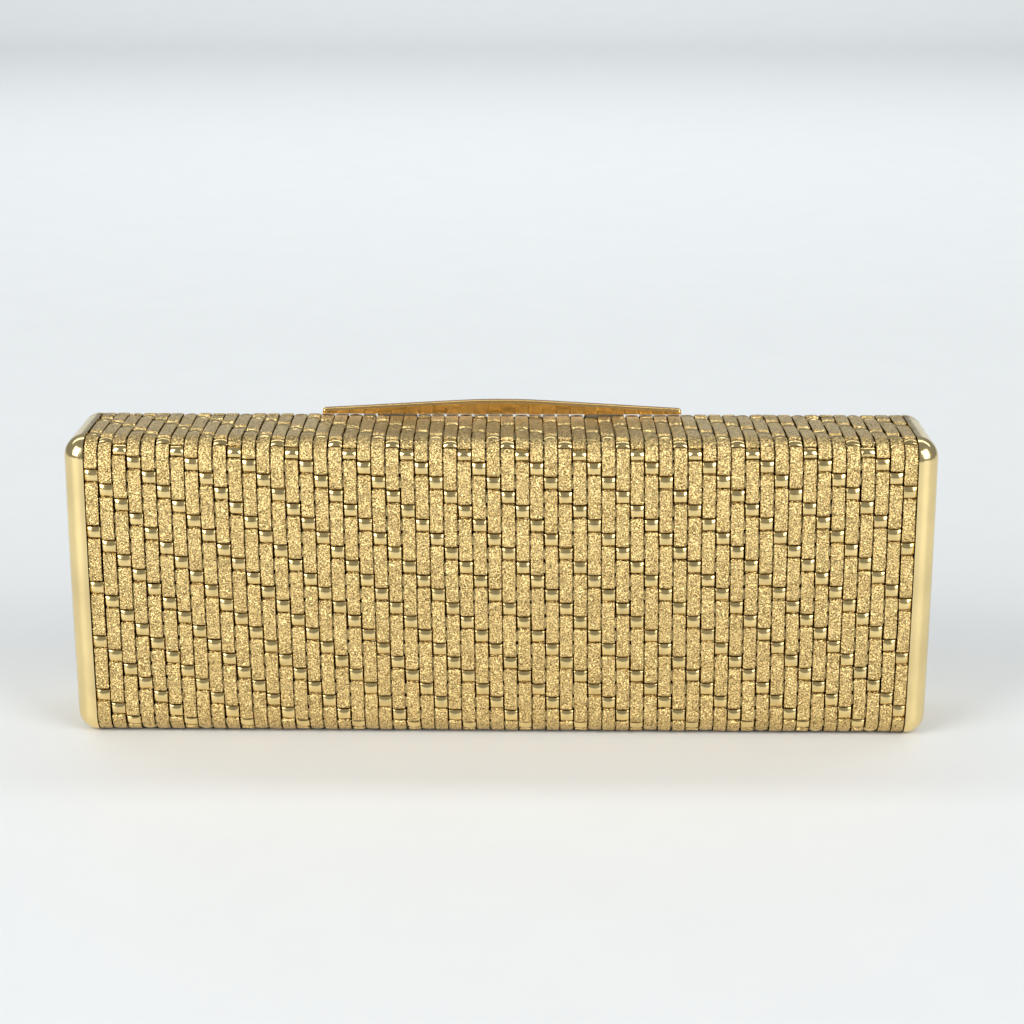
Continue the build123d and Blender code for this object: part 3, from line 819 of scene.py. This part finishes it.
class BAG_OT_finish_metal(bpy.types.Operator):
    """Gives every piece of the frame its finish"""

    bl_idname = "evening_bag.finish_metal"
    bl_label = "Finish the frame"

    def execute(self, context):
        colours = context.scene.bag_colours
        finishes = {
            "polished_gilt_brass": buffed_gilt_brass(colours.polished),
            "woven_gilt_strip": frosted_gilt_strip(colours),
            "pressed_steel": drawn_steel(colours),
            "spring_steel": blued_spring_steel(),
            "satin_lining": satin(colours),
        }
        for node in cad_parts.values():
            given = node.data.materials[0].name.split(".")[0]
            node.data.materials[0] = finishes[given]
        bar = buffed_gilt_brass(colours.bar, "rose_gilt_brass")
        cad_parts["thumb_bar"].data.materials[0] = bar
        return {"FINISHED"}


def softbox(name, place_at, aim, size, power, tint=(1, 1, 1)):
    """A rectangular area light aimed at a point."""
    lamp = bpy.data.lights.new(name, "AREA")
    lamp.shape = "RECTANGLE"
    lamp.size, lamp.size_y = size
    lamp.energy = power
    lamp.color = tint
    light = bpy.data.objects.new(name, lamp)
    light.location = place_at
    light.rotation_euler = (Vector(aim) - Vector(place_at)).to_track_quat("-Z", "Y").to_euler()
    bpy.context.collection.objects.link(light)


class BAG_OT_stage(bpy.types.Operator):
    """Sets up the floor, the soft lights and the camera"""

    bl_idname = "evening_bag.stage"
    bl_label = "Set the stage"

    def execute(self, context):
        self.sweep(context.scene.bag_colours)
        self.lights(context.scene)
        self.camera(context.scene)
        return {"FINISHED"}

    def sweep(self, colours):
        """A white floor that curves up into a backdrop, well behind the bag."""
        front, bend, height, half = -6.0, 2.0, 0.5, 5.0
        radius = 0.4
        steps = 12
        line = [(front, 0.0), (bend - 0.1, 0.0), (bend, 0.0)]
        for i in range(1, steps + 1):
            turn = math.pi / 2 * i / steps
            line.append((bend + radius * math.sin(turn), radius - radius * math.cos(turn)))
        line.append((bend + radius, height))
        points = [(x, y, z) for y, z in line for x in (-half, half)]
        faces = [(2 * i, 2 * i + 1, 2 * i + 3, 2 * i + 2) for i in range(len(line) - 1)]
        mesh = bpy.data.meshes.new("sweep")
        mesh.from_pydata(points, [], faces)
        mesh.shade_smooth()
        mesh.materials.append(matt_board(colours))
        sweep = bpy.data.objects.new("sweep", mesh)
        bpy.context.collection.objects.link(sweep)

    def lights(self, scene):
        """Two softboxes at the sides, two lamps behind it for the backdrop, and a dim room above."""
        aim = (0, 0, 0.04)
        softbox("softbox_left", (-0.72, -0.62, 0.54), aim, (0.6, 0.7), 7.8)
        softbox("softbox_right", (0.72, -0.64, 0.54), aim, (0.6, 0.7), 7.0)
        cool = (0.97, 0.99, 1.0)
        softbox("softbox_back", (0, 0.45, 1.0), (0, 1.4, 0), (2.4, 0.5), 11.5, cool)
        softbox("backdrop_light", (0, 1.1, 1.0), (0, 2.4, 0.15), (3.0, 0.4), 11, cool)
        world = bpy.data.worlds.new("dim_room")
        world.use_nodes = True
        shader = world.node_tree.nodes["Background"]
        shader.inputs["Color"].default_value = (*linear("#CDD2D6"), 1)
        shader.inputs["Strength"].default_value = 0.46
        scene.view_settings.view_transform = "Standard"
        scene.world = world

    def camera(self, scene):
        """The camera on its stand, upright, with depth of field off."""
        studio = scene.bag_studio
        lens = bpy.data.cameras.new("camera")
        lens.lens = studio.lens
        lens.dof.use_dof = False
        camera = bpy.data.objects.new("camera", lens)
        flat = math.cos(studio.elevation)
        side, front = math.sin(studio.azimuth) * flat, -math.cos(studio.azimuth) * flat
        away = Vector((side, front, math.sin(studio.elevation)))
        camera.location = Vector(studio.aim) + away * studio.distance
        camera.rotation_euler = (-away).to_track_quat("-Z", "Y").to_euler()
        bpy.context.collection.objects.link(camera)
        scene.camera = camera


class BAG_PT_panel(bpy.types.Panel):
    """The bag's steps and sizes"""

    bl_idname = "BAG_PT_panel"
    bl_label = "Evening Bag"
    bl_space_type = "VIEW_3D"
    bl_region_type = "UI"
    bl_category = "Evening Bag"

    def draw(self, context):
        layout = self.layout
        for operator in OPERATORS:
            layout.operator(operator.bl_idname)
        for group in (context.scene.bag_sizes, context.scene.bag_colours, context.scene.bag_studio):
            box = layout.box()
            for name in group.__annotations__:
                box.prop(group, name)


OPERATORS = (BAG_OT_weave, BAG_OT_line, BAG_OT_finish_metal, BAG_OT_stage)
CLASSES = (BagSizes, BagColours, BagStudio, *OPERATORS, BAG_PT_panel)


def register():
    for cls in CLASSES:
        bpy.utils.register_class(cls)
    bpy.types.Scene.bag_sizes = PointerProperty(type=BagSizes)
    bpy.types.Scene.bag_colours = PointerProperty(type=BagColours)
    bpy.types.Scene.bag_studio = PointerProperty(type=BagStudio)


def unregister():
    del bpy.types.Scene.bag_studio
    del bpy.types.Scene.bag_colours
    del bpy.types.Scene.bag_sizes
    for cls in reversed(CLASSES):
        bpy.utils.unregister_class(cls)


def main():
    register()
    bpy.ops.evening_bag.weave()
    bpy.ops.evening_bag.line()
    bpy.ops.evening_bag.finish_metal()
    bpy.ops.evening_bag.stage()


if __name__ == "__main__":
    main()
